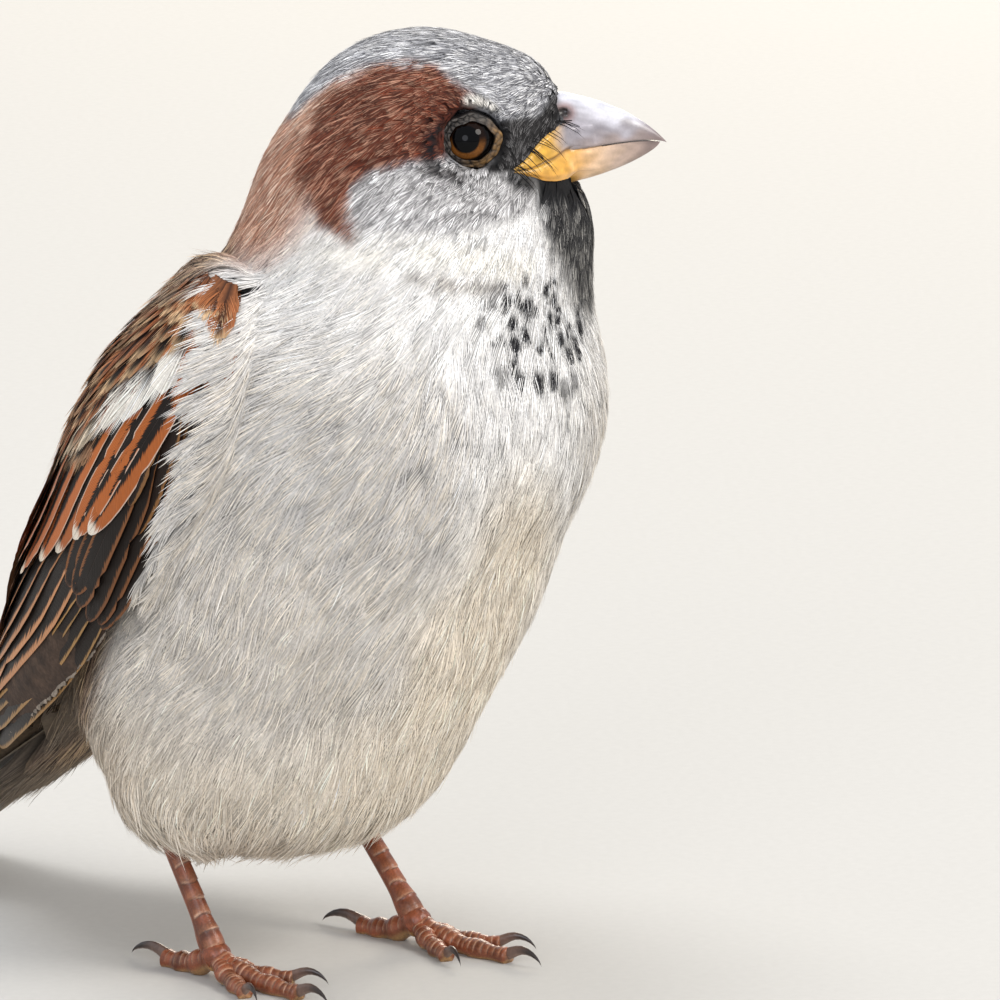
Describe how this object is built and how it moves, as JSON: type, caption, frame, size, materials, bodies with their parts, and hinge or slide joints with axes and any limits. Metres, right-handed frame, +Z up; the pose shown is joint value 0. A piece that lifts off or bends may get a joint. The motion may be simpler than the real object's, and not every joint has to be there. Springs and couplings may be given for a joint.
{
  "type": "house sparrow",
  "caption": "Life-size model of an adult male house sparrow, fluffed and upright on its bare feet, its head turned to its left.",
  "frame": {"origin": "On the floor under the middle of the bird's outer box; the toes stand on Z = 0.", "axes": "+Z up; the body faces -Y, the tail points to +Y, the bird's left side is +X. The head is turned 45 degrees to the bird's left."},
  "size_m": [0.0612, 0.1092, 0.1112],
  "materials": {
    "plumage": "soft feather coat, grey-white below, grey crown, chestnut head sides",
    "wing_feathers": "rufous and black feathers with buff edges and a white bar",
    "tail_feathers": "dark brown feathers with thin pale edges",
    "bill": "satin horn, greyish, yellow toward the gape",
    "eye": "wet, dark brown",
    "leg_skin": "scaled, pinkish brown",
    "claw": "satin horn, dark brown"
  },
  "bodies": {
    "root": {"head": "plumage", "neck": "plumage", "trunk": "plumage", "thigh_left": "plumage", "thigh_right": "plumage", "wing_left": "wing_feathers", "wing_right": "wing_feathers", "tail": "tail_feathers", "bill_upper": "bill", "bill_lower": "bill", "eye_left": "eye", "eye_right": "eye", "tarsus_left": "leg_skin", "tarsus_right": "leg_skin", "foot_left": "leg_skin", "foot_right": "leg_skin", "claw_left_hind": "claw", "claw_left_inner": "claw", "claw_left_middle": "claw", "claw_left_outer": "claw", "claw_right_hind": "claw", "claw_right_inner": "claw", "claw_right_middle": "claw", "claw_right_outer": "claw"}
  },
  "joints": []
}
